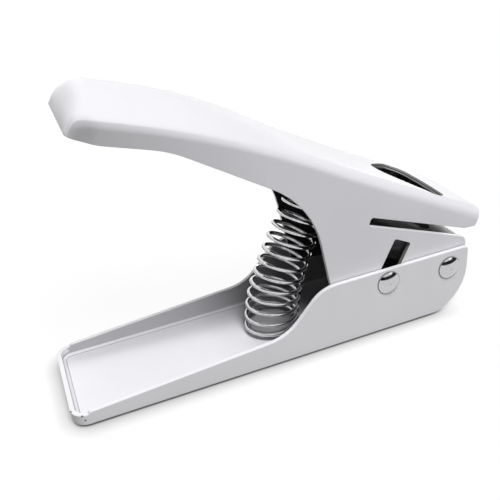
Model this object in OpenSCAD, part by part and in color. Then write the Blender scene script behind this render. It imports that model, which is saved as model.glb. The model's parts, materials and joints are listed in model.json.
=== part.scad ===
// Guitar pick punch: a sheet-metal lever press that stamps a pick out of a plastic card.
// The card goes into the slit at the nose. Pressing the grip swings the lever about the pivot pin,
// the drive pin holds the punch back, and the punch rises through the slit into the die.
// Origin: middle of the tray's underside. +X points to the nose, +Z up. Sizes in millimetres.

/* [Base tray] */
// Length of the tray from its front lip to its nose
base_l = 142; // [136:1:160]
// Width of the tray over its side walls
base_w = 40; // [39:0.5:46]
// Sheet thickness of the tray
base_t = 1.5; // [1:0.1:1.8]
// Inside radius of the bends along the floor
base_bend = 1.4; // [1:0.1:2]
// Outside radius of the edges along the floor
base_edge = 1; // [0.5:0.1:2]
// Plan radius of the two front corners, outside
corner_r = 5; // [4.4:0.1:8]
// Height of the front lip
lip_h = 4.5; // [4:0.1:6]
// Step up from the lip to the low side walls
step_h = 0.7; // [0.3:0.1:1.5]
// Slope of the low side walls, degrees
wall_slope = 4; // [1:0.5:6]
// Slope of the ramps up to the cheeks, degrees
ramp_slope = 47; // [40:1:55]
// Radius where a low wall turns up into its ramp
ramp_in_r = 16; // [8:1:20]
// Radius where a ramp turns level into its cheek
ramp_out_r = 12; // [6:1:16]
// Height of the cheeks
cheek_h = 24.4; // [24:0.2:27]
// Length of the cheeks, from the nose to the line of the ramps
cheek_l = 56.2; // [50:0.2:60]
// Radius of the cheeks' lower nose corners
nose_r = 17; // [10:0.5:19]
// Radius of the cheeks' upper nose corners
nose_top_r = 1.2; // [0.6:0.1:3]

/* [Pins] */
// Distance of the pivot pin from the nose of the tray
pivot_inset = 7.6; // [7:0.1:9]
// Height of the pivot pin
pivot_z = 18.1; // [17.4:0.1:18.6]
// Distance from the pivot pin to the drive pin, along the tray
pin_span = 24.1; // [23:0.1:25]
// Height of the drive pin
drive_z = 19.4; // [19:0.1:20]
// Shank diameter of the pivot pin
pivot_d = 5; // [4:0.1:5.4]
// Shank diameter of the drive pin
drive_d = 3; // [2.6:0.1:3.4]
// Diameter of the rivet heads
head_d = 8; // [7:0.1:9]
// Height of the rivet heads
head_h = 1.4; // [0.8:0.1:2]
// Outside diameter of the hardened sleeve on the drive pin
sleeve_d = 6; // [5.2:0.1:6.4]
// Radial clearance of pins and sleeves that turn
run_gap = 0.05; // [0.02:0.01:0.1]
// Radial clearance of pins, screws and bushes that stay put
set_gap = 0.02; // [0.01:0.01:0.05]

/* [Lever] */
// Length of the lever from its nose to the tip of the grip
lever_l = 141.8; // [136:0.2:146]
// Sheet thickness of the lever
lever_t = 1.6; // [1.2:0.1:2]
// Gap between each wall of the lever and the tray
side_gap = 0.3; // [0.2:0.05:0.6]
// Tilt of the lever's top at rest, degrees
top_tilt = 27.9; // [27:0.1:28.4]
// Height of the lever's top over the pivot, square to the top
top_h = 22.4; // [21.6:0.1:24]
// Reach of the lever's nose past the pivot
nose_reach = 4.1; // [3.8:0.1:5]
// Setback of the lower jaw from the upper one
jaw_back = 0.4; // [0.2:0.1:0.8]
// Outside bend radius along the top at the nose
bend_r = 4; // [3:0.1:4.6]
// Distance from the pivot at which the grip starts to curve down
grip_start = 52; // [46:1:58]
// Radius of the grip's curve, seen from the side
grip_r = 430; // [380:10:500]
// Height of the grip's crown over its long edges
crown_h = 7.2; // [4:0.1:7.6]
// Distance from the pivot at which the top starts to crown
crown_start = 43; // [42:0.5:54]
// Distance from the pivot at which the crown has its full height
crown_full = 116; // [100:1:124]
// Length over which the crown runs out at the grip's tip
crown_end = 4.5; // [3:0.5:10]
// Plan radius of the grip's tip corners
tip_r = 2.4; // [2:0.2:4.4]
// Roll of the grip's tip, seen from the side
tip_roll = 2; // [2:0.2:4]
// Distance of the finger hollow from the pivot
hollow_a = 110; // [104:1:116]
// Depth of the grip at the finger hollow, below the line of the top
hollow_h = 9.5; // [8:0.1:11]
// Radius of the finger hollow
hollow_r = 40; // [20:1:50]
// Drop of the grip's edge from the finger hollow to the tip
tip_drop = 3.6; // [2:0.1:5]
// Distance of the lowest place of the grip's edge from the tip
tip_edge_l = 8.5; // [6:0.5:10]
// Slope of the grip's edge behind the finger hollow, against the top, degrees
edge_slope = 4.75; // [2:0.25:6]
// Distance from the pivot at which the grip's edge meets the line of the front edge
front_a = 60.9; // [58:0.1:63]
// Sweep radius from the grip's edge into the front edge
sweep_r = 34; // [26:1:38]
// Reach of the walls' feet from the pivot, along the tray
foot_reach = 43.6; // [42:0.1:45]
// Radius of the walls' feet
foot_r = 3; // [1:0.1:4]
// Gap between the walls' feet and the tray's floor bends, pressed
foot_gap = 0.3; // [0.2:0.05:1]
// Depth of the walls under the pivot
heel_h = 7.6; // [6.4:0.1:8.4]
// Bulge of the walls round the pivot, past the nose
ear = 1.4; // [0.4:0.1:2]
// Radius of the lower jaw's nose
jaw_r = 3.4; // [2:0.1:3.6]
// Height of the bevel under the upper jaw's nose
jaw_bevel = 1.8; // [1:0.1:2.4]
// Reach of the slit's upper edge past the pivot, to the bevel
jaw_reach = 2; // [1:0.1:2.6]
// Angle that the handle travels, degrees
press = 17; // [12:0.5:17]

/* [Slit and pin slots] */
// Tilt of the card slit at rest, degrees
slit_tilt = 20.7; // [20.2:0.1:21.2]
// Height of the slit's lower face over the pivot, square to the slit
slit_h = 11.34; // [11:0.02:12]
// Height of the slit
slit_w = 3; // [2:0.1:3.2]
// Depth of the slit past the pivot
slit_l = 36.8; // [35.4:0.1:37]
// Width of the slots for the drive pin
slot_w = 6.8; // [6.2:0.1:7.6]
// Length of the slots for the drive pin
slot_l = 16.6; // [15:0.2:17.6]
// Corner radius of the slots for the drive pin
slot_r = 0.8; // [0.4:0.1:1.5]
// Gap between the drive pin and the ends and sides of its slots
slot_gap = 0.3; // [0.2:0.05:0.5]

/* [Punch and die] */
// Length of the pick, along the lever
pick_l = 21.6; // [20:0.1:22.4]
// Wall of the die beside the pick, which is as wide as the walls leave room for
die_wall = 1.9; // [1.6:0.1:3.4]
// Radius of the pick's tip
pick_tip_r = 6.4; // [4:0.1:8]
// Radius of the pick's two shoulders
pick_corner_r = 5.4; // [4:0.1:7]
// Radius of the pick's bowed sides
pick_side_r = 60; // [45:1:120]
// Distance of the pick's back edge from the pivot
pick_back = 6.7; // [6.4:0.1:7.2]
// Clearance of the punch in the guide and the die, all round
punch_gap = 0.08; // [0.04:0.01:0.1]
// Margin of the window in the lever's top round the die's hole
window_rim = 0.6; // [0.3:0.1:0.9]
// Thickness of the guide plate under the slit
guide_t = 3.2; // [2.8:0.1:4.2]
// Gap between the die set and the lever's sheet
die_gap = 0.2; // [0.1:0.05:0.3]
// Depth of the card stop behind the slit
stop_l = 4; // [3.9:0.1:4.2]
// Reach of the die and the guide plate past the pivot, towards the nose
die_reach = 1; // [0.4:0.1:1.6]
// Distance of the punch's face under the slit at rest
punch_drop = 1.4; // [1:0.1:1.8]
// Height of the punch
punch_h = 11.9; // [11.5:0.1:12.5]
// Width of the punch's yoke, across the lever
yoke_w = 22; // [18:0.5:26]
// Wall of the yoke round the drive sleeve
yoke_wall = 2; // [1.6:0.1:2.4]
// Clearance of the drive sleeve in the yoke's cross slot
cross_gap = 0.2; // [0.15:0.01:0.25]
// Diameter of the screws of the die set and the punch
screw_d = 2.5; // [2:0.1:2.6]
// Diameter of the dowels of the die set and the punch
dowel_d = 2; // [1.6:0.1:2.4]
// Reach of the die set's screws into the die
die_bite = 8; // [6:0.1:9]
// Reach of the yoke's screws into the punch
punch_bite = 6; // [4:0.1:8]
// Empty length at the end of each screw's hole
hole_spare = 0.5; // [0.2:0.1:1]
// Wall of the bush on the pivot pin
bush_wall = 1.5; // [1:0.1:1.6]
// Wall of the guide round the bush
guide_wall = 1.6; // [1.2:0.1:1.9]
// Distance of the yoke's back face from the pick's back edge
yoke_inset = 1.4; // [0.5:0.1:2]

/* [Spring] */
// Wire of the return spring
wire_d = 1.4; // [1:0.1:1.5]
// Outside diameter of the spring at the tray
spring_foot_d = 20; // [18.4:0.1:20.6]
// Outside diameter of the spring at the lever
spring_head_d = 15.4; // [14:0.1:15.8]
// Turns of the spring
turns = 15; // [12:1:16]
// Rise of the first and the last turn
end_pitch = 3.8; // [3.2:0.1:4]
// Heading of the spring's lower end, degrees
spring_turn = 94; // [0:1:359]
// Distance of the spring's foot from the front lip
spring_x = 74.4; // [72.8:0.1:75.4]
// Distance of the spring's head from the pivot, along the lever
spring_a = 51.7; // [51:0.1:54]
// Length over which the spring leaves the tray straight
foot_pull = 17.5; // [14:0.5:22]
// Length over which the spring meets the lever straight
head_pull = 20; // [16:1:24]
// Thickness of the spring's upper seat
cup_t = 1; // [0.8:0.1:1.5]
// Height of the bosses inside the spring's ends
boss_h = 2; // [1.8:0.1:3]
// Radius of the bosses' edges
boss_round = 0.8; // [0.4:0.1:1.2]
// Shank diameter of the rivet in the spring's lower seat
seat_rivet_d = 2; // [1.6:0.1:2.4]
// Reach of that rivet into the seat
seat_bite = 1.2; // [0.8:0.1:1.4]
// Gap between the spring and what it seats on
seat_gap = 0.3; // [0.2:0.05:0.4]

/* [Hidden] */
$fn = 64;

// Points on each arc of an outline
ARC = 8;
// Overlap of cuts past the faces that they cut
cut = 1;

// Places of the pins in the frame of the whole
pivot = [base_l / 2 - pivot_inset, pivot_z];
drive = [pivot.x - pin_span, drive_z];

// Widths that follow from the tray
lever_w = base_w - 2 * base_t - 2 * side_gap;
inner_w = lever_w - 2 * lever_t;
die_w = inner_w - 2 * die_gap;
pick_w = die_w - 2 * die_wall;

// Turns a place in the frame of the whole into one seen from the pivot, tilted by an angle
function from_pivot(p, tilt) = let (v = p - pivot)
    [v.x * cos(tilt) - v.y * sin(tilt), v.x * sin(tilt) + v.y * cos(tilt)];

// Turns a place seen square to the slit into one seen square to the lever's top
lean = top_tilt - slit_tilt;
function to_top(p) = [p.x * cos(lean) - p.y * sin(lean), p.x * sin(lean) + p.y * cos(lean)];

// The drive pin seen from the lever, at rest and pressed, square to the slit and to the top
pin_slit = from_pivot(drive, slit_tilt);
pin_top = from_pivot(drive, top_tilt);
pin_reach = norm(pin_slit);
slit_angle = atan2(-pin_slit.y, -pin_slit.x);
top_angle = atan2(-pin_top.y, -pin_top.x);
pressed_slit = -pin_reach * [cos(slit_angle - press), sin(slit_angle - press)];
pressed_top = -pin_reach * [cos(top_angle - press), sin(top_angle - press)];
far_slit = press > slit_angle ? -pin_reach : pressed_slit.x;
travel = pressed_slit.y - pin_slit.y;

// Levels of the die set, square to the slit
slit_top = slit_h + slit_w;
guide_low = slit_h - guide_t;
die_front = -slit_l - stop_l;
punch_top = slit_h - punch_drop;
punch_low = punch_top - punch_h;

// The yoke holds the drive sleeve with room for the sleeve's drift
cross_front = far_slit - sleeve_d / 2 - cross_gap;
cross_back = pin_slit.x + sleeve_d / 2 + cross_gap;
cross_half = sleeve_d / 2 + cross_gap;
yoke_low = pin_slit.y - cross_half - yoke_wall;
yoke_front = cross_front - yoke_wall;
yoke_back = -pick_back - yoke_inset;

// Lines of the screws and dowels, and the cap screws' heads
die_line = -slit_l - stop_l / 2;
die_screw_y = die_w / 3;
die_dowel_y = die_w / 8;
punch_line = (cross_back + yoke_back) / 2;
punch_screw_y = yoke_w / 3;
punch_dowel_y = yoke_w / 10;
head_w = 1.8 * screw_d;
head_t = screw_d;

// Outside of the bush on the pivot pin, and the tip of the grip along the lever
bush_d = pivot_d + 2 * run_gap + 2 * bush_wall;
tip_a = nose_reach - lever_l;
// Nose of the lower jaw, along the lever
low_nose = nose_reach - jaw_back;

// Corner of an outline rounded by an arc of radius r
function rounded(p, q, s, r) =
    r <= 0 ? [q] :
    let (u = (p - q) / norm(p - q), v = (s - q) / norm(s - q), half = acos(u * v) / 2)
    let (c = q + (u + v) / norm(u + v) * r / sin(half))
    let (a0 = q + u * r / tan(half) - c, a1 = q + v * r / tan(half) - c)
    let (w0 = atan2(a0.y, a0.x), turn = atan2(a0.x * a1.y - a0.y * a1.x, a0 * a1))
    [for (k = [0:ARC]) c + r * [cos(w0 + turn * k / ARC), sin(w0 + turn * k / ARC)]];

// Outline through corners [x, y, radius]
function outline(v) = let (n = len(v), at = [for (c = v) [c.x, c.y]])
    [for (i = [0:n - 1]) each rounded(at[(i + n - 1) % n], at[i], at[(i + 1) % n], v[i].z)];

// Points of an arc round c from one heading to the next, anticlockwise
function arc(c, r, from, to) = let (sweep = (to - from + 720) % 360)
    [for (k = [0:ARC]) c + r * [cos(from + sweep * k / ARC), sin(from + sweep * k / ARC)]];

function heading(v) = atan2(v.y, v.x);

// Centre of a bowed side of radius r that runs inside two corner circles, left of c1 to c2
function bow(c1, r1, c2, r2, r) =
    let (v = c2 - c1, d = norm(v), x = ((r - r1) * (r - r1) - (r - r2) * (r - r2) + d * d) / (2 * d))
    c1 + v / d * x + [-v.y, v.x] / d * sqrt((r - r1) * (r - r1) - x * x);

// Outline of the pick, grown by g all round, tip towards the grip
function pick(g) =
    let (tip = [-pick_back - pick_l + pick_tip_r, 0])
    let (low = [-pick_back - pick_corner_r, -pick_w / 2 + pick_corner_r], high = [low.x, -low.y])
    let (b1 = bow(tip, pick_tip_r, low, pick_corner_r, pick_side_r), b2 = [b1.x, -b1.y])
    let (back = bow(low, pick_corner_r, high, pick_corner_r, pick_side_r))
    concat(
        arc(tip, pick_tip_r + g, heading(tip - b2), heading(tip - b1)),
        arc(b1, pick_side_r + g, heading(tip - b1), heading(low - b1)),
        arc(low, pick_corner_r + g, heading(low - b1), heading(low - back)),
        arc(back, pick_side_r + g, heading(low - back), heading(high - back)),
        arc(high, pick_corner_r + g, heading(high - back), heading(high - b2)),
        arc(b2, pick_side_r + g, heading(high - b2), heading(tip - b2))
    );

// Frames: the tray from its front lip, and the lever seen from the pivot
module from_lip() translate([-base_l / 2, 0, 0]) children();
module square_to_slit() translate([pivot.x, 0, pivot.y]) rotate([0, slit_tilt, 0]) children();
module square_to_top() translate([pivot.x, 0, pivot.y]) rotate([0, top_tilt, 0]) children();

// A side outline made solid across the whole width w
module across(w) rotate([90, 0, 0]) linear_extrude(w, center = true) children();

// A bar along Y of diameter d and length w, at [x, z]
module cross_bar(p, d, w)
    translate([p.x, 0, p.y]) rotate([90, 0, 0]) cylinder(d = d, h = w, center = true);

// A box-like tub, round along the floor and at the two front corners
module tub(l, w, h, corner, edge) {
    module wall(x) intersection() {
        square([x, h]);
        union() {
            translate([0, edge]) square([x, h - edge]);
            square([x - edge, h]);
            translate([x - edge, edge]) circle(edge);
        }
    }
    translate([corner, 0, 0]) rotate([90, 0, 90]) linear_extrude(l - corner) {
        wall(w / 2);
        mirror([1, 0]) wall(w / 2);
    }
    translate([corner, 0, 0]) mirror([1, 0, 0]) across(w - 2 * corner) wall(corner);
    for (side = [-1, 1])
        translate([corner, side * (w / 2 - corner), 0]) rotate_extrude() wall(corner);
}

// Side view of the tray
module tray_side() {
    ramp = [base_l - cheek_l, cheek_h];
    low = tan(wall_slope);
    steep = tan(ramp_slope);
    wall = [corner_r + step_h, lip_h + step_h];
    // Where the low wall's line meets the ramp's line
    turn_x = (wall.y - low * wall.x - ramp.y + steep * ramp.x) / (steep - low);
    polygon(outline([
        [-cut, -cut, 0],
        [-cut, lip_h, 0],
        [corner_r, lip_h, 0],
        [wall.x, wall.y, step_h / 2],
        [turn_x, wall.y + low * (turn_x - wall.x), ramp_in_r],
        [ramp.x, ramp.y, ramp_out_r],
        [base_l, cheek_h, nose_top_r],
        [base_l, 0, nose_r],
        [base_l - nose_r - cut, 0, 0],
        [base_l - nose_r - cut, -cut, 0]
    ]));
}

module base_tray() color("gainsboro") difference() {
    from_lip() intersection() {
        difference() {
            tub(base_l + cut, base_w, cheek_h + cut, corner_r, base_edge);
            translate([base_t, 0, base_t])
                tub(base_l + cut, base_w - 2 * base_t, cheek_h + cut, corner_r - base_t, base_bend);
        }
        across(base_w + cut) tray_side();
    }
    cross_bar(pivot, pivot_d + 2 * set_gap, base_w + cut);
    cross_bar(drive, drive_d + 2 * set_gap, base_w + cut);
    translate([axis_ends[0].x, 0, 0]) {
        cylinder(d = seat_rivet_d + 2 * set_gap, h = base_t + cut);
        // Countersink for the rivet of the spring's seat
        translate([0, 0, -cut]) cylinder(
            d1 = 2 * (seat_rivet_d + cut + set_gap),
            d2 = seat_rivet_d + 2 * set_gap,
            h = seat_rivet_d / 2 + cut
        );
    }
}

// Rivet along Y with a low domed head on both cheeks
module rivet(p, d) {
    rim = head_h / 4;
    dome = head_h - rim;
    // Radius of the ball whose cap is the dome
    ball = (head_d * head_d / 4 + dome * dome) / (2 * dome);
    cross_bar(p, d, base_w + head_h / 2);
    for (side = [-1, 1])
        translate([p.x, side * base_w / 2, p.y]) rotate([-90 * side, 0, 0]) {
            cylinder(d = head_d, h = rim);
            intersection() {
                cylinder(d = head_d, h = head_h);
                translate([0, 0, head_h - ball]) sphere(ball);
            }
        }
}

module pivot_pin() color("silver") rivet(pivot, pivot_d);

module drive_pin() color("silver") rivet(drive, drive_d);

module drive_sleeve() color("dimgray") difference() {
    cross_bar(drive, sleeve_d, inner_w - 2 * side_gap);
    cross_bar(drive, drive_d + 2 * set_gap, base_w);
}

// Rings of the spring's tube: a fixed count to each turn
RINGS = 8;
SIDES = 6;

// Bosses that fit inside the spring's two ends, clear of the straight steps between its rings
function boss_d(coil_d) = (coil_d - wire_d) * cos(180 / RINGS) - wire_d - 2 * seat_gap;
boss_foot_d = boss_d(spring_foot_d);
boss_head_d = boss_d(spring_head_d);

// Round button with a soft upper edge, standing on z = 0
module button(d, h) rotate_extrude() intersection() {
    square([d / 2, h]);
    union() {
        square([d / 2, h - boss_round]);
        square([d / 2 - boss_round, h]);
        translate([d / 2 - boss_round, h - boss_round]) circle(boss_round);
    }
}

module spring_seat() color("silver") translate([axis_ends[0].x, 0, base_t]) difference() {
    button(boss_foot_d, boss_h);
    translate([0, 0, -cut]) cylinder(d = seat_rivet_d + 2 * set_gap, h = seat_bite + set_gap + cut);
}

// Rivet with a countersunk head under the floor, blind in the seat
module seat_rivet() color("silver") translate([axis_ends[0].x, 0, 0]) {
    cylinder(d1 = 2 * seat_rivet_d, d2 = seat_rivet_d, h = seat_rivet_d / 2);
    cylinder(d = seat_rivet_d, h = base_t + seat_bite);
}

// Axis of the spring: straight up from the tray, square onto the lever
spring_rise = top_h - lever_t - cup_t - wire_d / 2 - seat_gap;
function from_top(p) = pivot
    + [p.x * cos(top_tilt) + p.y * sin(top_tilt), -p.x * sin(top_tilt) + p.y * cos(top_tilt)];
axis_ends = [
    [spring_x - base_l / 2, base_t + wire_d / 2 + seat_gap],
    from_top([-spring_a, spring_rise])
];
axis_pulls = [axis_ends[0] + [0, foot_pull], from_top([-spring_a, spring_rise - head_pull])];
function axis_at(u) = pow(1 - u, 3) * axis_ends[0] + 3 * pow(1 - u, 2) * u * axis_pulls[0]
    + 3 * (1 - u) * u * u * axis_pulls[1] + u * u * u * axis_ends[1];
function axis_way(u) = unit(pow(1 - u, 2) * (axis_pulls[0] - axis_ends[0])
    + 2 * (1 - u) * u * (axis_pulls[1] - axis_pulls[0]) + u * u * (axis_ends[1] - axis_pulls[1]));
function unit(v) = v / norm(v);

chords = [for (k = [1:turns]) norm(axis_at(k / turns) - axis_at((k - 1) / turns))];
axis_l = chords * [for (c = chords) 1];
mid_pitch = (axis_l - 2 * end_pitch) / (turns - 2);
function clamp(x, lo, hi) = min(max(x, lo), hi);
// Share of the axis that turn number n has reached
function climb(n) = (end_pitch * (clamp(n, 0, 1) + clamp(n - turns + 1, 0, 1))
    + mid_pitch * clamp(n - 1, 0, turns - 2)) / axis_l;
// Middle of the wire at turn number n
function wire_at(n) = let (u = climb(n), c = axis_at(u), way = axis_way(u), w = 360 * n + spring_turn)
    let (r = (spring_foot_d + (spring_head_d - spring_foot_d) * u - wire_d) / 2)
    [c.x + r * cos(w) * way.y, r * sin(w), c.y - r * cos(w) * way.x];
// Ring of points round the wire at turn number n
function ring(n) = let (p = wire_at(n), e = 0.01, ahead = unit(wire_at(n + e) - wire_at(n - e)))
    let (c = axis_at(climb(n)), side = unit(cross(ahead, p - [c.x, 0, c.y])), up = cross(side, ahead))
    [for (k = [0:SIDES - 1]) p + wire_d / 2 * (cos(360 * k / SIDES) * up + sin(360 * k / SIDES) * side)];

last_ring = turns * RINGS;
wire_mid = [for (i = [0:last_ring]) wire_at(i / RINGS)];
// Least gap of the wire to itself, between points about a turn apart
spring_clear = min([for (i = [0:last_ring - RINGS / 2], j = [i + RINGS / 2:min(i + 2 * RINGS, last_ring)])
    norm(wire_mid[i] - wire_mid[j])]) - wire_d;

module return_spring() color("silver") {
    points = [for (i = [0:last_ring]) each ring(i / RINGS)];
    sides = [for (i = [0:last_ring - 1], k = [0:SIDES - 1])
        let (a = i * SIDES + k, b = i * SIDES + (k + 1) % SIDES)
        each [[a, b + SIDES, b], [a, a + SIDES, b + SIDES]]];
    first = [for (k = [1:SIDES - 2]) [0, k, k + 1]];
    end = last_ring * SIDES;
    last = [for (k = [1:SIDES - 2]) [end, end + k + 1, end + k]];
    polyhedron(points, concat(sides, first, last));
}

// Shape of the lever's top at distance a from the pivot
function smooth(x) = let (k = clamp(x, 0, 1)) k * k * (3 - 2 * k);
function quarter(d, r) = let (k = clamp(r - d, 0, r)) r - sqrt(r * r - k * k);
function grip_drop(a) = a < -grip_start ? grip_r - sqrt(grip_r * grip_r - pow(a + grip_start, 2)) : 0;
function crown(a, d) = crown_h * smooth((-a - crown_start) / (crown_full - crown_start))
    * (1 - quarter(d / crown_end, 1));

// Cross-section of the lever at a, thinner than the outside by t
bend_steps = 6;
crown_steps = 5;
section_low = -2 * top_h;
// Sections along the lever: close together round the tip, then even ones along the crown
tip_shares = [0, 0.02, 0.06, 0.14, 0.27, 0.45, 0.7];
crown_rows = 11;
function section(a, t) =
    let (d = a - tip_a - t, half = lever_w / 2 - t - quarter(d, tip_r - t), r = bend_r - t)
    let (rise = crown(a, d), edge = top_h - t - grip_drop(a) - quarter(d, tip_roll - t))
    // Slope of the crown where the bend meets it, and that place
    let (slope = atan(2 * rise * (half - r) / (half * half)), meet = half - r + r * sin(slope))
    let (low = edge + rise * (1 - pow(meet / half, 2)) - r * cos(slope))
    let (bend = [for (k = [0:bend_steps]) let (w = (90 - slope) * k / bend_steps)
        [half - r + r * cos(w), low + r * sin(w)]])
    let (top = [for (k = [1:crown_steps - 1]) let (y = meet * (1 - k / crown_steps))
        [y, edge + rise * (1 - pow(y / half, 2))]])
    let (side = concat([[half, section_low]], bend, top), n = len(side))
    concat(
        [for (p = side) [a, p.x, p.y]],
        [for (k = [n - 1:-1:0]) [a, -side[k].x, side[k].y]]
    );

// Solid under the lever's top, from the grip's tip to past the nose
module lever_block(t, past) {
    tip = tip_a + t;
    along = (-crown_start - tip - crown_end) / crown_rows;
    stations = concat(
        [for (share = tip_shares) tip + share * crown_end],
        [for (k = [0:crown_rows]) tip + crown_end + k * along],
        [nose_reach + past]
    );
    rings = [for (a = stations) section(a, t)];
    n = len(rings[0]);
    m = len(stations);
    sides = [for (i = [0:m - 2], k = [0:n - 1])
        let (a = i * n + k, b = i * n + (k + 1) % n)
        each [[a, a + n, b + n], [a, b + n, b]]];
    caps = [[for (k = [0:n - 1]) k], [for (k = [n - 1:-1:0]) (m - 1) * n + k]];
    polyhedron([for (r = rings) each r], concat(sides, caps), convexity = 4);
}

// Height of the walls' feet at rest, so that they just clear the floor when pressed
foot_z = pivot_z
    + (base_t + base_bend + foot_gap - pivot_z + foot_reach * sin(press)) / cos(press);

// Height over the pivot of a line along the slit, at distance a along the lever
function slit_line(a, t) = a * tan(lean) + t / cos(lean);

// Side view of the lever, square to its top, with the slit open at the nose
module lever_side() {
    hollow = [-hollow_a, top_h - hollow_h];
    sweep = [-front_a, hollow.y - tan(edge_slope) * (hollow_a - front_a)];
    foot = from_pivot([pivot.x - foot_reach, foot_z], top_tilt);
    jaw = to_top([jaw_reach, slit_top]);
    polygon(outline([
        [tip_a - cut, hollow.y - tip_drop, 0],
        [tip_a + tip_edge_l, hollow.y - tip_drop, hollow_r / 2],
        concat(hollow, hollow_r),
        concat(sweep, sweep_r),
        concat(foot, foot_r),
        [low_nose, -heel_h, heel_h / 2],
        [low_nose + ear, 0, heel_h / 2],
        [low_nose, slit_line(low_nose, slit_h), jaw_r],
        concat(to_top([-slit_l, slit_h]), slit_w / 3),
        concat(to_top([-slit_l, slit_top]), slit_w / 3),
        concat(jaw, 0),
        [nose_reach, jaw.y + jaw_bevel, jaw_bevel / 3],
        [nose_reach, top_h + crown_h, 0],
        [tip_a - cut, top_h + crown_h, 0]
    ]));
}

module lever_shell() color("gainsboro") difference() {
    square_to_top() difference() {
        intersection() {
            lever_block(0, 0);
            across(lever_w + cut) lever_side();
        }
        lever_block(lever_t, cut);
        pin_slots();
    }
    square_to_slit() translate([0, 0, slit_top])
        linear_extrude(2 * top_h) polygon(pick(punch_gap + window_rim));
    cross_bar(pivot, pivot_d + 2 * run_gap, base_w);
}

// Slots of the lever's walls for the drive pin, square to the top
module pin_slots() {
    front = pressed_top.x - drive_d / 2 - slot_gap;
    low = pin_top.y - drive_d / 2 - slot_gap;
    across(base_w) polygon(outline([
        [front, low, slot_r],
        [front + slot_w, low, slot_r],
        [front + slot_w, low + slot_l, slot_r],
        [front, low + slot_l, slot_r]
    ]));
}

// Height of the lever's inner face over the slit frame at distance s
function under_top(s) = (top_h - lever_t - s * sin(lean)) / cos(lean);

module upper_die() color("dimgray") square_to_slit() difference() {
    intersection() {
        across(die_w) polygon([
            [die_front, slit_top],
            [die_reach, slit_top],
            [die_reach, under_top(die_reach)],
            [die_front, under_top(die_front)]
        ]);
        // Long upper edges bevelled to clear the bends of the lever
        rotate([0, lean, 0]) rotate([90, 0, 90])
            linear_extrude(4 * slit_l, center = true) bevelled_end();
    }
    linear_extrude(2 * top_h) polygon(pick(punch_gap));
    die_bores();
}

// Bores of the die set for its screws and dowels, up to their ends in the die
module die_bores() for (side = [-1, 1]) {
    translate([die_line, side * die_screw_y, 0])
        cylinder(d = screw_d + 2 * set_gap, h = slit_top + die_bite + hole_spare);
    translate([die_line, side * die_dowel_y, 0])
        cylinder(d = dowel_d + 2 * set_gap, h = slit_top + die_bite / 2 + hole_spare);
}

// End view of the room inside the lever, square to its top
module bevelled_end() {
    top = top_h - lever_t;
    half = die_w / 2;
    bevel = bend_r - lever_t;
    polygon([
        [-half, 0], [half, 0], [half, top - bevel], [half - bevel, top],
        [bevel - half, top], [-half, top - bevel]
    ]);
}

module lower_guide() color("dimgray") square_to_slit() difference() {
    boss = bush_d / 2 + guide_wall;
    across(die_w) {
        circle(boss);
        translate([-boss, 0]) square([2 * boss, guide_low]);
        polygon([[die_front, guide_low], [boss, guide_low], [die_reach, slit_h], [die_front, slit_h]]);
    }
    linear_extrude(2 * slit_h) polygon(pick(punch_gap));
    cross_bar([0, 0], bush_d + 2 * set_gap, base_w);
    die_bores();
}

module card_stop() color("gray") square_to_slit() difference() {
    translate([die_front, -die_w / 2, slit_h]) cube([stop_l, die_w, slit_w]);
    die_bores();
}

// Cap screw along +Z, its head under z = 0, with a hexagon socket
module cap_screw(l) {
    difference() {
        translate([0, 0, -head_t]) cylinder(d = head_w, h = head_t);
        translate([0, 0, -head_t - cut]) cylinder(d = head_w / 2, h = head_t / 2 + cut, $fn = 6);
    }
    cylinder(d = screw_d, h = l);
}

module die_screws() color("darkgray") square_to_slit() for (side = [-1, 1])
    translate([die_line, side * die_screw_y, guide_low]) cap_screw(guide_t + slit_w + die_bite);

module die_dowels() color("silver") square_to_slit() for (side = [-1, 1])
    translate([die_line, side * die_dowel_y, guide_low])
        cylinder(d = dowel_d, h = guide_t + slit_w + die_bite / 2);

module pivot_bush() color("darkgoldenrod") difference() {
    cross_bar(pivot, bush_d, die_w);
    cross_bar(pivot, pivot_d + 2 * run_gap, base_w);
}

// Seat of the spring that fills the crown of the lever's top, with a boss inside the spring
module spring_cup() color("silver") square_to_top() {
    // The seat ends where the die stands
    die_edge = to_top([die_front, under_top(die_front)]).x - die_gap;
    intersection() {
        lever_block(lever_t + set_gap, 0);
        translate([-spring_a, 0, top_h - lever_t - cup_t])
            cylinder(d = spring_head_d + 2 * cup_t, h = cup_t + crown_h);
        translate([die_edge - spring_a, -lever_w / 2, 0]) cube([spring_a, lever_w, 2 * top_h]);
    }
    translate([-spring_a, 0, top_h - lever_t - set_gap]) mirror([0, 0, 1])
        button(boss_head_d, cup_t - set_gap + boss_h);
}

// Bores for the punch's screws and dowels, through the yoke and into the punch
module punch_bores() for (side = [-1, 1]) {
    translate([punch_line, side * punch_screw_y, yoke_low - cut]) {
        cylinder(d = screw_d + 2 * set_gap, h = punch_low - yoke_low + punch_bite + hole_spare + cut);
        cylinder(d = head_w + 2 * set_gap, h = head_t + cut);
    }
    translate([punch_line, side * punch_dowel_y, yoke_low - cut])
        cylinder(d = dowel_d + 2 * set_gap, h = punch_low - yoke_low + punch_bite / 2 + hole_spare + cut);
}

module punch() color("dimgray") square_to_slit() difference() {
    translate([0, 0, punch_low]) linear_extrude(punch_h) polygon(pick(0));
    punch_bores();
}

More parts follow.
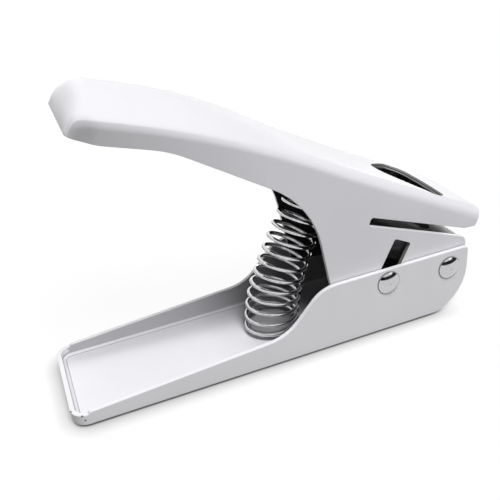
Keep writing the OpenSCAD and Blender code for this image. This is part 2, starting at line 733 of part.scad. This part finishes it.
module punch_yoke() color("gray") square_to_slit() difference() {
    across(yoke_w) difference() {
        polygon(outline([
            [yoke_front, yoke_low, yoke_wall],
            [yoke_back, yoke_low, yoke_wall],
            [yoke_back, punch_low, 0],
            [yoke_front, punch_low, 0]
        ]));
        // Cross slot for the drive sleeve
        translate([cross_front + cross_half, pin_slit.y]) circle(cross_half);
        translate([cross_back - cross_half, pin_slit.y]) circle(cross_half);
        translate([cross_front + cross_half, pin_slit.y - cross_half])
            square([cross_back - cross_front - 2 * cross_half, 2 * cross_half]);
    }
    punch_bores();
}

module punch_screws() color("darkgray") square_to_slit() for (side = [-1, 1])
    translate([punch_line, side * punch_screw_y, yoke_low + head_t])
        cap_screw(punch_low - yoke_low - head_t + punch_bite);

module punch_dowels() color("silver") square_to_slit() for (side = [-1, 1])
    translate([punch_line, side * punch_dowel_y, yoke_low])
        cylinder(d = dowel_d, h = punch_low - yoke_low + punch_bite / 2);

echo(least_gap_of_the_spring_to_itself = spring_clear);
echo(punch_travel = travel, press_angle = press, slide_way = [sin(slit_tilt), 0, cos(slit_tilt)]);

base_tray();
pivot_pin();
drive_pin();
drive_sleeve();
spring_seat();
seat_rivet();
return_spring();
lever_shell();
upper_die();
lower_guide();
card_stop();
die_screws();
die_dowels();
pivot_bush();
spring_cup();
punch();
punch_yoke();
punch_screws();
punch_dowels();
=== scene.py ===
import json
import math

import bmesh
import bpy
import numpy as np
from mathutils import Matrix, Vector

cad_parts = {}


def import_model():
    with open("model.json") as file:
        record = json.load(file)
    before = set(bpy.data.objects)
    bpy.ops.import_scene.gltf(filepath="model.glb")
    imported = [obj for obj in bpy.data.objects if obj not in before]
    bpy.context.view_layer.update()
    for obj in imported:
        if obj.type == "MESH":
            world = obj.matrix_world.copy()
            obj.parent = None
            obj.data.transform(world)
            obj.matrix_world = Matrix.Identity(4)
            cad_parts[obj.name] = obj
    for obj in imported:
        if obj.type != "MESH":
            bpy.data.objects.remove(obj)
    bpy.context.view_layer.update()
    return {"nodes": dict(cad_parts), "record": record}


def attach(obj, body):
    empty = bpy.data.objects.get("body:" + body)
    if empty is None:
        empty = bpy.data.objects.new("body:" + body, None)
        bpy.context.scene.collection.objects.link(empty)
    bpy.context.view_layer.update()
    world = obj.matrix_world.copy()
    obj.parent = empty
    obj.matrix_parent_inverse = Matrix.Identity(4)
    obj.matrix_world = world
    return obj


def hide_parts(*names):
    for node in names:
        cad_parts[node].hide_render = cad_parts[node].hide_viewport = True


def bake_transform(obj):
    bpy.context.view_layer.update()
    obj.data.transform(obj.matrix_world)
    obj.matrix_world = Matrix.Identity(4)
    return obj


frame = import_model()
nodes = frame["nodes"]
scene = bpy.context.scene
scene.view_settings.view_transform = "Standard"


# Sizes and angles of the solids, with the values of the part's source; lengths are in millimetres

MM = 0.001
BASE_L, BASE_W, BASE_T, BASE_BEND = 142.0, 40.0, 1.5, 1.4
LEVER_T, SIDE_GAP, TOP_H = 1.6, 0.3, 22.4
TOP_TILT = math.radians(27.9)
PIVOT = np.array([63.4, 18.1])
DRIVE = np.array([39.3, 19.4])
RIVET_HEAD_D = 8.0
WIRE_D, SPRING_FOOT_D, SPRING_HEAD_D = 1.4, 20.0, 15.4
TURNS, END_PITCH, SPRING_TURN = 15, 3.8, math.radians(94)
SPRING_X, SPRING_A, FOOT_PULL, HEAD_PULL = 74.4, 51.7, 17.5, 20.0
CUP_T, SEAT_GAP = 1.0, 0.3

# How far the walls' faces stand from the middle plane
TRAY_IN = BASE_W / 2 - BASE_T
LEVER_OUT = TRAY_IN - SIDE_GAP
LEVER_IN = LEVER_OUT - LEVER_T


def to_top(x, z):
    """The parts of (x, z) along the lever's top and square to it."""
    c, s = math.cos(TOP_TILT), math.sin(TOP_TILT)
    return x * c - z * s, x * s + z * c


def from_top(reach, height):
    """The place (x, z) that lies so far along the lever's top and square to it from the pivot."""
    c, s = math.cos(TOP_TILT), math.sin(TOP_TILT)
    return PIVOT + np.array([reach * c + height * s, height * c - reach * s])


# Shader nodes; an owner is a material or a world

MIX_FACTOR, MIX_A, MIX_B, MIX_RESULT = 0, 6, 7, 2  # the sockets of a Mix node that mixes colours


def new_material(name, **sockets):
    """A node material with its Principled shader's plain values set."""
    mat = bpy.data.materials.new(name)
    mat.use_nodes = True
    shader = mat.node_tree.nodes["Principled BSDF"]
    for key, value in sockets.items():
        shader.inputs[key.replace("_", " ")].default_value = value
    return mat


def blank(owner):
    """The owner with an empty node tree."""
    owner.use_nodes = True
    owner.node_tree.nodes.clear()
    return owner


def add(owner, kind, **values):
    """A node with its properties and input values set."""
    node = owner.node_tree.nodes.new(kind)
    for key, value in values.items():
        if hasattr(node, key):
            setattr(node, key, value)
        else:
            node.inputs[key.replace("_", " ")].default_value = value
    return node


def link(owner, source, output, target, socket):
    owner.node_tree.links.new(source.outputs[output], target.inputs[socket])


def colour_of(node):
    """The output that carries a node's colour."""
    return MIX_RESULT if node.bl_idname == "ShaderNodeMix" else "Color"


def combine(owner, operation, *sources):
    """A math node fed by (node, output) pairs."""
    node = add(owner, "ShaderNodeMath", operation=operation)
    for k, (source, output) in enumerate(sources):
        link(owner, source, output, node, k)
    return node


def scaled(mat, source, output, low, high):
    """A value as a share of the way from low to high."""
    node = add(mat, "ShaderNodeMath", operation="MULTIPLY_ADD")
    node.inputs[1].default_value = 1 / (high - low)
    node.inputs[2].default_value = -low / (high - low)
    link(mat, source, output, node, 0)
    return node


def steps(mat, source, output, limits, results):
    """A value between two limits turned into one between two results, and held beyond them."""
    low, high = limits
    first, last = results
    node = add(mat, "ShaderNodeMapRange", From_Min=low, From_Max=high, To_Min=first, To_Max=last)
    link(mat, source, output, node, "Value")
    return node


def ramp(mat, source, output, stops):
    """A colour ramp fed by a value; stops are (place, colour) or (place, grey)."""
    node = add(mat, "ShaderNodeValToRGB")
    elements = node.color_ramp.elements
    while len(elements) < len(stops):
        elements.new(0.5)
    for element, (place, shade) in zip(elements, stops):
        element.position = place
        element.color = (*shade, 1) if isinstance(shade, tuple) else (shade, shade, shade, 1)
    link(mat, source, output, node, "Fac")
    return node


def ramp_mm(mat, source, output, stops):
    """A colour ramp fed by a length; the stops' places are in millimetres."""
    low, high = stops[0][0], stops[-1][0]
    share = scaled(mat, source, output, low * MM, high * MM)
    return ramp(mat, share, "Value", [((place - low) / (high - low), grey) for place, grey in stops])


def own_axes(mat):
    """The place in the object's own space, as X, Y and Z."""
    place = add(mat, "ShaderNodeTexCoord")
    node = add(mat, "ShaderNodeSeparateXYZ")
    link(mat, place, "Object", node, "Vector")
    return node


def measure(mat, operation, vector=(0, 0, 0)):
    """A number from the place in the object's own space and a fixed vector."""
    place = add(mat, "ShaderNodeTexCoord")
    node = add(mat, "ShaderNodeVectorMath", operation=operation)
    node.inputs[1].default_value = vector
    link(mat, place, "Object", node, 0)
    return node


def noise(mat, scale, stretch=(1, 1, 1), detail=3.0):
    """Noise in the object's own space; scale is in features a metre."""
    place = add(mat, "ShaderNodeTexCoord")
    mapping = add(mat, "ShaderNodeMapping", Scale=stretch)
    link(mat, place, "Object", mapping, "Vector")
    node = add(mat, "ShaderNodeTexNoise", Scale=scale, Detail=detail)
    link(mat, mapping, "Vector", node, "Vector")
    return node


def bumps(mat, source, depth, strength):
    """A bump node; depth is in metres."""
    node = add(mat, "ShaderNodeBump", Strength=strength, Distance=depth)
    link(mat, source, "Fac", node, "Height")
    return node


def darken(mat, colour, share):
    """A colour times a grey share."""
    node = add(mat, "ShaderNodeMix", data_type="RGBA", blend_type="MULTIPLY")
    node.inputs[MIX_FACTOR].default_value = 1.0
    link(mat, colour, colour_of(colour), node, MIX_A)
    link(mat, share, colour_of(share), node, MIX_B)
    return node


def finish_material(mat, colour, rough, normal):
    shader = mat.node_tree.nodes["Principled BSDF"]
    link(mat, colour, colour_of(colour), shader, "Base Color")
    link(mat, rough, "Color", shader, "Roughness")
    link(mat, normal, "Normal", shader, "Normal")
    return mat


# Materials

# Painted shade, as shares of a colour (millimetres, share): by the height, along the tray and along the
# grip
# Painted contact shadow: the tray's paint turns near black along its lowest millimetre
FOOT_SHADE = [(0.65, 0.06), (1.1, 1.0)]
FLOOR_SHADE = [(-20, 1.0), (18, 0.62)]
WALL_SHADE = [(-50, 0.65), (-20, 0.64), (18, 0.3)]
GRIP_SHADE = [(-45, 0.7), (0, 1.0)]

# How fully the grip's painted shade shows, by the distance from the middle plane
GRIP_SIDES = [(17.3, 0.0), (17.65, 1.0)]


def painted_grip_shade(mat):
    """Painted shade: a greyer share of the colour on the sides of the grip, towards its tip."""
    axes = own_axes(mat)
    aside = combine(mat, "ABSOLUTE", (axes, "Y"))
    node = add(mat, "ShaderNodeMix", data_type="RGBA")
    node.inputs[MIX_A].default_value = (1, 1, 1, 1)
    link(mat, ramp_mm(mat, aside, "Value", GRIP_SIDES), "Color", node, MIX_FACTOR)
    link(mat, ramp_mm(mat, axes, "X", GRIP_SHADE), "Color", node, MIX_B)
    return node


def spot(radius, dark):
    """The shares of a soft dark spot, by the distance from its middle."""
    return [(0.44 * radius, dark), (radius, 1.0)]


def outline(radius, dark):
    """The shares of a thin dark line at a radius, by the distance from its middle."""
    return [(0.94 * radius, 1.0), (0.98 * radius, dark), (1.03 * radius, dark), (1.12 * radius, 1.0)]


def paint(name, light, dark, foot=None, inside=None, grip=False, marks=()):
    """Stoved paint with faint orange peel and cloudy gloss; where given, painted shade at the foot,
    along the tray and on the grip, and dark marks.
    """
    mat = new_material(name, Coat_Weight=0.25, Coat_Roughness=0.22)
    colour = ramp(mat, noise(mat, scale=38, detail=4), "Fac", [(0.3, dark), (0.7, light)])
    if foot:
        colour = darken(mat, colour, ramp_mm(mat, own_axes(mat), "Z", foot))
    if inside:
        colour = darken(mat, colour, ramp_mm(mat, own_axes(mat), "X", inside))
    if grip:
        colour = darken(mat, colour, painted_grip_shade(mat))
    for middle, stops in marks:
        away = measure(mat, "DISTANCE", [v * MM for v in middle])
        colour = darken(mat, colour, ramp_mm(mat, away, "Value", stops))
    rough = ramp(mat, noise(mat, scale=90, detail=5), "Fac", [(0.25, 0.3), (0.8, 0.44)])
    peel = bumps(mat, noise(mat, scale=1100, detail=2), depth=0.00003, strength=0.35)
    return finish_material(mat, colour, rough, peel)


def steel(name, light, dark, rough, scale, depth, stretch=(1, 1, 1)):
    """Bare metal with a fine grain; rough is the least and the most roughness."""
    mat = new_material(name, Metallic=1.0)
    grain = noise(mat, scale, stretch, detail=5)
    colour = ramp(mat, grain, "Fac", [(0.3, dark), (0.7, light)])
    gloss = ramp(mat, noise(mat, scale / 3, stretch), "Fac", [(0.3, rough[0]), (0.7, rough[1])])
    return finish_material(mat, colour, gloss, bumps(mat, grain, depth, strength=0.5))


def dull(name, light, dark):
    """A thin dull coat with a cloudy colour."""
    mat = new_material(name, Specular_IOR_Level=0.12)
    colour = ramp(mat, noise(mat, scale=60, detail=6), "Fac", [(0.3, dark), (0.7, light)])
    rough = ramp(mat, noise(mat, scale=150), "Fac", [(0.3, 0.7), (0.7, 0.9)])
    relief = bumps(mat, noise(mat, scale=2500), depth=0.00002, strength=0.4)
    return finish_material(mat, colour, rough, relief)


def cut_edge(name):
    """Bare cut edges with bands of painted highlight and shade through the sheet of the lever's top,
    grey below it.
    """
    mat = new_material(name, Specular_IOR_Level=0.3)
    height = measure(mat, "DOT_PRODUCT", (math.sin(TOP_TILT), 0, math.cos(TOP_TILT)))
    high = to_top(*PIVOT)[1] + TOP_H
    share = scaled(mat, height, "Value", (high - LEVER_T) * MM, high * MM)
    # Painted highlight and shade: light and dark lines through the sheet, as along the rims of the
    # window
    bands = [
        (0.0, 0.2), (0.02, 0.05), (0.12, 0.55), (0.3, 0.55),
        (0.36, 0.05), (0.5, 0.05), (0.58, 0.42), (0.95, 0.36)]
    colour = ramp(mat, share, "Value", bands)
    rough = ramp(mat, noise(mat, scale=400), "Fac", [(0.3, 0.35), (0.7, 0.55)])
    relief = bumps(mat, noise(mat, scale=1800), depth=0.00002, strength=0.4)
    return finish_material(mat, colour, rough, relief)


def shaded_slit_guide(name):
    """The guide's block: near black deeper in the slit, which is painted shade, and pale bare metal at
    the slit's mouth.
    """
    mat = new_material(name, Specular_IOR_Level=0.12)
    axes = own_axes(mat)
    streaks = noise(mat, scale=420, stretch=(1, 9, 1), detail=5)
    colour = ramp(mat, streaks, "Fac", [(0.35, 0.6), (0.65, 1.0)])
    # Painted shade: near black deeper in the slit, paler towards its mouth
    mouth = ramp_mm(mat, axes, "X", [(62, 0.035), (68, 0.55)])
    bare = ramp_mm(mat, axes, "X", [(63, 0.0), (68, 0.8)])
    link(mat, bare, "Color", mat.node_tree.nodes["Principled BSDF"], "Metallic")
    rough = ramp(mat, streaks, "Fac", [(0.3, 0.5), (0.7, 0.34)])
    relief = bumps(mat, streaks, depth=0.00002, strength=0.4)
    return finish_material(mat, darken(mat, colour, mouth), rough, relief)


LEVER_SILVER = (0.785, 0.78, 0.815), (0.755, 0.75, 0.785)
# Painted light: the tray's paint is a paler copy of the lever's
LIT_TRAY_SILVER = (0.835, 0.83, 0.86), (0.805, 0.8, 0.83)
# Painted shade: a soft dark spot on the grip's side near its tip
CORNER_SHADE = [((-49.5, -18.2, 91.5), spot(5, 0.86))]
CHIPS = [
    ((-67.9, -19.6, 4.4), spot(0.5, 0.12)),
    ((-67.2, -19.8, 2.7), spot(0.5, 0.2)),
    ((-70.8, -16, 4.5), spot(0.6, 0.15)),
]
# Painted shade: thin dark rings round the rivet heads, where their rims meet the cheeks
HEAD_SHADE = [
    ((x, y, z), outline(RIVET_HEAD_D / 2, 0.35))
    for x, z in (DRIVE, PIVOT) for y in (-BASE_W / 2, BASE_W / 2)]

LEVER_PAINT = paint("silver_paint", *LEVER_SILVER, grip=True, marks=CORNER_SHADE)
# The tray's paint carries painted shade at its foot and round the rivet heads; its chips are real
TRAY_PAINT = paint("tray_paint", *LIT_TRAY_SILVER, foot=FOOT_SHADE, marks=CHIPS + HEAD_SHADE)
# Painted shade: the tray's floor and inner walls darken towards the spring and beyond, the walls
# throughout
SHADED_FLOOR_PAINT = paint("bay_painted_shade", *LEVER_SILVER, inside=FLOOR_SHADE)
SHADED_WALL_PAINT = paint("wall_painted_shade", *LIT_TRAY_SILVER, inside=WALL_SHADE)
# Painted shade: the spring's seat, inside the coils, is painted much darker than the sheet
SHADED_SEAT_PAINT = paint("seat_painted_shade", (0.44, 0.44, 0.455), (0.36, 0.36, 0.375))
# Painted shade: grey lines along the bends between the tray's floor and walls
BEND_SHADE_PAINT = paint("bend_painted_shade", (0.5, 0.5, 0.515), (0.4, 0.4, 0.415))
POLISHED = steel(
    "polished_steel", (0.58, 0.58, 0.59), (0.5, 0.5, 0.51), rough=(0.06, 0.14), scale=1500,
    depth=0.000004)
WIRE = steel(
    "spring_wire", (0.78, 0.78, 0.79), (0.6, 0.6, 0.61), rough=(0.04, 0.09), scale=900, depth=0.000004)
TOOL = steel(
    "ground_steel", (0.1, 0.1, 0.105), (0.065, 0.065, 0.07), rough=(0.22, 0.36), scale=500,
    depth=0.00002, stretch=(1, 12, 1))
BLACK = steel(
    "black_steel", (0.1, 0.1, 0.105), (0.05, 0.05, 0.055), rough=(0.35, 0.5), scale=900, depth=0.00002)
BRONZE = steel(
    "bronze", (0.62, 0.45, 0.22), (0.5, 0.35, 0.16), rough=(0.25, 0.38), scale=600,
    depth=0.00002, stretch=(1, 12, 1))
# Painted shade: the faces inside the lever's hollow are near black
SHADED_HOLLOW = dull("shaded_hollow", (0.046, 0.046, 0.049), (0.028, 0.028, 0.031))
CUT = cut_edge("cut_edge")
GUIDE = shaded_slit_guide("shaded_slit_guide")

SLOTS = {
    "painted_sheet": LEVER_PAINT,
    "polished_steel": POLISHED,
    "spring_wire": WIRE,
    "tool_steel": TOOL,
    "black_steel": BLACK,
    "bronze": BRONZE,
}
OWN_SHADED_MATERIAL = {"lower_guide": GUIDE, "spring_seat": SHADED_SEAT_PAINT}


def dress(obj, mat):
    obj.data.materials.clear()
    obj.data.materials.append(mat)


for sub in frame["record"]["subparts"]:
    dress(nodes[sub["node"]], OWN_SHADED_MATERIAL.get(sub["node"], SLOTS[sub["material_slot"]]))


def put(name, data):
    """A new object in the scene."""
    obj = bpy.data.objects.new(name, data)
    scene.collection.objects.link(obj)
    return obj


# Sheet metal: the solids again, with soft sheet edges

SAME_POINT, FLAT, SHARP = 0.04 * MM, math.radians(0.02), math.radians(38)
EDGE_ROUND = 0.12 * MM

# How far from the middle plane the walls and their inner faces are looked for
SLACK = 0.1
LEVER_WALL = LEVER_IN - 2 * SLACK, LEVER_OUT + SLACK
LEVER_INSIDE = LEVER_IN - 8 * SLACK, LEVER_IN + 3 * SLACK
TRAY_INSIDE = TRAY_IN - SLACK, TRAY_IN + SLACK

# Where the window and the pin slots lie, along the lever's top and square to it from the pivot
WINDOW_REACH, WINDOW_MIDDLE = (-31, -4), -17.5
SLOT_REACH, SLOT_HEIGHT = (-26.5, -18.2), (-12.7, 5.5)
HOLLOW_HEIGHT = 12.5

# The two lines of painted shade along the tray's bends: their rise above the floor, their start and
# their furthest side
BEND_TOP, BEND_FOOT = (0.6, 1.22), (0, 0.04)
BEND_START, BEND_SIDE = 1.3 - BASE_L / 2, TRAY_IN + 0.15


def between(value, limits):
    return limits[0] < value < limits[1]


def soft_copy(node, name, body, mats, choose):
    """A copy of a sheet node's shape with its sharp edges rounded; choose(face) numbers the material."""
    bm = bmesh.new()
    bm.from_mesh(nodes[node].data)
    bmesh.ops.remove_doubles(bm, verts=bm.verts, dist=SAME_POINT)
    bmesh.ops.dissolve_limit(
        bm, angle_limit=FLAT, verts=bm.verts, edges=bm.edges, use_dissolve_boundaries=False)
    sharp = [e for e in bm.edges if len(e.link_faces) == 2 and e.calc_face_angle(0) > SHARP]
    bmesh.ops.bevel(
        bm, geom=sharp, offset=EDGE_ROUND, offset_type="OFFSET", segments=2, profile=0.5,
        affect="EDGES", clamp_overlap=False)
    bm.normal_update()
    for face in bm.faces:
        face.smooth = True
        face.material_index = choose(face)
    mesh = bpy.data.meshes.new(name)
    bm.to_mesh(mesh)
    bm.free()
    obj = put(name, mesh)
    for mat in mats:
        mesh.materials.append(mat)
    normals = obj.modifiers.new("even_normals", "WEIGHTED_NORMAL")
    normals.weight = 100
    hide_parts(node)
    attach(obj, body)


def lever_face(face):
    """1 on faces that look into the lever's hollow, which are painted near black as shade, 2 on the cut
    edges of the window and the slots.
    """
    c, n = face.calc_center_median() / MM, face.normal
    side = abs(c.y)
    ahead, up = to_top(n.x, n.z)
    reach, height = to_top(c.x - PIVOT[0], c.z - PIVOT[1])
    in_top = abs(up) < 0.5 and height > TOP_H - LEVER_T - SLACK and side < LEVER_IN - SLACK
    if in_top and between(reach, WINDOW_REACH):
        return 2 if (reach - WINDOW_MIDDLE) * ahead + c.y * n.y < 0 else 0
    in_wall = abs(n.y) < 0.5 and between(side, LEVER_WALL)
    if in_wall and between(reach, SLOT_REACH) and between(height, SLOT_HEIGHT):
        return 2
    inner_wall = n.y * c.y < 0 and abs(n.y) > 0.3 and between(side, LEVER_INSIDE)
    under_top = up < -0.3 and height > HOLLOW_HEIGHT and side < LEVER_INSIDE[1]
    return 1 if inner_wall or under_top else 0


def tray_face(face):
    """Inside the tray, 1 on two lines of painted shade along the bends, 2 on the floor and 3 on the
    walls, which both take painted shade.
    """
    c, n = face.calc_center_median() / MM, face.normal
    rise, side = c.z - BASE_T, abs(c.y)
    line = n.z > 0.05 and between(rise, BEND_TOP) or n.z > 0.9 and between(rise, BEND_FOOT)
    if line and n.z < 0.9995 and side < BEND_SIDE and c.x > BEND_START:
        return 1
    if n.y * c.y < 0 and abs(n.y) > 0.9 and between(side, TRAY_INSIDE):
        return 3
    return 2 if rise < BASE_BEND and n.z > 0.2 and side < TRAY_INSIDE[1] else 0


soft_copy(
    "base_tray", "tray_sheet", "base", [TRAY_PAINT, BEND_SHADE_PAINT, SHADED_FLOOR_PAINT, SHADED_WALL_PAINT], tray_face)
soft_copy("lever_shell", "lever_sheet", "lever", [LEVER_PAINT, SHADED_HOLLOW, CUT], lever_face)


# The return spring, wound round the same bent axis as the solid one

RINGS, SIDES = 40, 12  # rings of points in a turn, and points in a ring
HALF_STEP = 0.3  # of the way to the next ring, for the wire's direction
ASIDE = (0, 1, 0.3)  # a direction that the wire never takes


def unit(vector):
    return vector / np.linalg.norm(vector)


def spring():
    rise = TOP_H - LEVER_T - CUP_T - WIRE_D / 2 - SEAT_GAP
    foot = np.array([SPRING_X - BASE_L / 2, BASE_T + WIRE_D / 2 + SEAT_GAP])
    head = from_top(-SPRING_A, rise)
    pulls = foot + [0, FOOT_PULL], from_top(-SPRING_A, rise - HEAD_PULL)

    def axis_at(u):
        return ((1 - u) ** 3 * foot + 3 * (1 - u) ** 2 * u * pulls[0]
                + 3 * (1 - u) * u * u * pulls[1] + u ** 3 * head)

    def axis_way(u):
        return unit((1 - u) ** 2 * (pulls[0] - foot) + 2 * (1 - u) * u * (pulls[1] - pulls[0])
                    + u * u * (head - pulls[1]))

    length = sum(np.linalg.norm(axis_at((k + 1) / TURNS) - axis_at(k / TURNS)) for k in range(TURNS))
    pitch = (length - 2 * END_PITCH) / (TURNS - 2)

    def wire_at(n):
        """The wire's middle after n turns."""
        ends = min(max(n, 0), 1) + min(max(n - TURNS + 1, 0), 1)
        u = (END_PITCH * ends + pitch * min(max(n - 1, 0), TURNS - 2)) / length
        c, way = axis_at(u), axis_way(u)
        r = (SPRING_FOOT_D + (SPRING_HEAD_D - SPRING_FOOT_D) * u - WIRE_D) / 2
        w = 2 * math.pi * n + SPRING_TURN
        out = r * math.cos(w)
        return np.array([c[0] + out * way[1], r * math.sin(w), c[1] - out * way[0]])

    count = TURNS * RINGS
    verts, faces = [], []
    for i in range(count + 1):
        ahead = unit(wire_at((i + HALF_STEP) / RINGS) - wire_at((i - HALF_STEP) / RINGS))
        side = unit(np.cross(ahead, ASIDE))
        up = np.cross(side, ahead)
        middle = wire_at(i / RINGS)
        for k in range(SIDES):
            w = 2 * math.pi * k / SIDES
            verts.append((middle + WIRE_D / 2 * (math.cos(w) * up + math.sin(w) * side)) * MM)
    for i in range(count):
        for k in range(SIDES):
            a, b = i * SIDES + k, i * SIDES + (k + 1) % SIDES
            faces.append((a, b, b + SIDES, a + SIDES))
    faces.append(tuple(range(SIDES - 1, -1, -1)))
    faces.append(tuple(count * SIDES + k for k in range(SIDES)))

    mesh = bpy.data.meshes.new("coil_spring")
    mesh.from_pydata([tuple(v) for v in verts], [], faces)
    mesh.validate()
    mesh.shade_smooth()
    obj = put("coil_spring", mesh)
    dress(obj, WIRE)
    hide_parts("return_spring")
    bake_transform(obj)


spring()


# Camera, floor and light, in metres

# The camera that fits the photograph: its right, up and back directions, and its place
CAMERA_AXES = (
    (0.92705, -0.363635, -0.091367),
    (0.251926, 0.423639, 0.870094),
    (-0.27769, -0.829638, 0.484344),
)
CAMERA_PLACE = (-0.065911, -0.191304, 0.145891)
SENSOR_MM, LENS_MM, CLIP_START = 36, 49.586, 0.01

FLOOR_HALF, FLOOR_Z = 3.0, -0.0002
LIT_Y, LIT_SHARES = (-0.03, 0.015), (0.3, 0.05)  # the floor's lit part, from the front to the back
FADE_AWAY, FADE_SHARES = (0.11, 0.24), (1.0, 0.25)  # how it fades away from the object
GLOW_AWAY = (0.15, 0.6)  # where the floor's glow rises to white
GLOW_ROOM = (1.0, -0.02)  # the glow where the lit part is none and all
CONTACT_SHADE_REACH = 0.006  # how close to the object the glow darkens

# The dark surround: its radius, its arc in degrees, its lowest and highest edge, and its panels
DARK_RADIUS, DARK_FROM, DARK_ARC = 0.27, 100, 250
DARK_EDGES, DARK_PANELS = (-0.0001, 0.065), 40

# Name, place, target, size, watts, and the kind of ray that doesn't see the lamp
LAMPS = [
    ("key", (0.06, -0.46, 0.94), (0, 0, 0.03), 0.34, 11.0, "glossy"),
    ("back", (-0.2, 0.76, 0.3), (0, 0, 0.04), 0.5, 4.0, "glossy"),
    ("rim", (0.55, 0.7, 0.14), (0.03, 0, 0.05), 0.35, 0.12, "diffuse"),
    ("nose_rim", (0.64, 0.58, 0.07), (0.05, 0, 0.04), 0.14, 0.13, "diffuse"),
    ("front", (0.32, -0.32, 0.12), (0.02, 0, 0.03), 0.2, 0.1, None),
]


def camera():
    data = bpy.data.cameras.new("camera")
    data.sensor_width = SENSOR_MM
    data.lens = LENS_MM
    data.clip_start = CLIP_START
    place = Matrix(CAMERA_AXES).transposed().to_4x4()
    place.translation = CAMERA_PLACE
    obj = put("camera", data)
    obj.matrix_world = place
    scene.camera = obj


def floor():
    """A white floor with the object's shadow: a part takes light, a glow makes it white, and the glow
    darkens near the object as a painted contact shadow.
    """
    s, z = FLOOR_HALF, FLOOR_Z
    mesh = bpy.data.meshes.new("floor")
    mesh.from_pydata([(-s, -s, z), (s, -s, z), (s, s, z), (-s, s, z)], [], [(0, 1, 2, 3)])
    put("floor", mesh)
    mat = blank(bpy.data.materials.new("floor"))
    mesh.materials.append(mat)

    # The part that takes light is largest in front of the object and fades away from it
    away = measure(mat, "LENGTH")
    front = steps(mat, own_axes(mat), "Y", LIT_Y, LIT_SHARES)
    fade = steps(mat, away, "Value", FADE_AWAY, FADE_SHARES)
    lit = combine(mat, "MULTIPLY", (front, "Result"), (fade, "Result"))

    # The glow leaves room for that part near the object, in place of 0, and is white further off
    room = steps(mat, lit, "Value", (0, 1), GLOW_ROOM)
    level = steps(mat, away, "Value", GLOW_AWAY, (0, 1))
    link(mat, room, "Result", level, "To Min")
    path = add(mat, "ShaderNodeLightPath")
    seen = combine(mat, "MAXIMUM", (path, "Is Camera Ray"), (path, "Is Glossy Ray"))
    shown = combine(mat, "MULTIPLY", (seen, "Value"), (level, "Result"))
    # Painted contact shadow: the glow darkens where the object is close
    contact_shade = add(mat, "ShaderNodeAmbientOcclusion", Distance=CONTACT_SHADE_REACH)
    strength = combine(mat, "MULTIPLY", (shown, "Value"), (contact_shade, "AO"))

    diffuse = add(mat, "ShaderNodeBsdfDiffuse")
    glow = add(mat, "ShaderNodeEmission")
    both = add(mat, "ShaderNodeAddShader")
    link(mat, lit, "Value", diffuse, "Color")
    link(mat, strength, "Value", glow, "Strength")
    link(mat, diffuse, 0, both, 0)
    link(mat, glow, 0, both, 1)
    link(mat, both, 0, add(mat, "ShaderNodeOutputMaterial"), "Surface")


def world():
    """A faint light from all round, and plain white behind the object and in its reflections."""
    studio = blank(bpy.data.worlds.new("studio"))
    soft = add(studio, "ShaderNodeBackground", Color=(0.96, 0.97, 1, 1), Strength=0.04)
    white = add(studio, "ShaderNodeBackground", Color=(1, 1, 1, 1))
    path = add(studio, "ShaderNodeLightPath")
    seen = combine(studio, "MAXIMUM", (path, "Is Camera Ray"), (path, "Is Glossy Ray"))
    shown = combine(studio, "MAXIMUM", (seen, "Value"), (path, "Is Transmission Ray"))
    both = add(studio, "ShaderNodeMixShader")
    link(studio, shown, "Value", both, "Fac")
    link(studio, soft, 0, both, 1)
    link(studio, white, 0, both, 2)
    link(studio, both, 0, add(studio, "ShaderNodeOutputWorld"), "Surface")
    scene.world = studio


def dark_surround():
    """A low dark wall round the table, which only reflections show."""
    verts, faces = [], []
    for k in range(DARK_PANELS + 1):
        w = math.radians(DARK_FROM + DARK_ARC * k / DARK_PANELS)
        verts += [(DARK_RADIUS * math.cos(w), DARK_RADIUS * math.sin(w), z) for z in DARK_EDGES]
    for k in range(0, 2 * DARK_PANELS, 2):
        faces.append((k, k + 2, k + 3, k + 1))
    mesh = bpy.data.meshes.new("dark_surround")
    mesh.from_pydata(verts, [], faces)
    mesh.materials.append(dull("dark_cloth", (0.03, 0.03, 0.03), (0.02, 0.02, 0.02)))
    obj = put("dark_surround", mesh)
    for ray in ("camera", "diffuse", "shadow", "transmission", "volume_scatter"):
        setattr(obj, "visible_" + ray, False)


def lamp(name, place, target, size, watts, hidden_from):
    data = bpy.data.lights.new(name, "AREA")
    data.size = size
    data.energy = watts
    obj = put(name, data)
    obj.location = place
    obj.rotation_mode = "QUATERNION"
    obj.rotation_quaternion = (Vector(target) - Vector(place)).to_track_quat("-Z", "Y")
    if hidden_from:
        setattr(obj, "visible_" + hidden_from, False)


camera()
floor()
world()
dark_surround()
for row in LAMPS:
    lamp(*row)
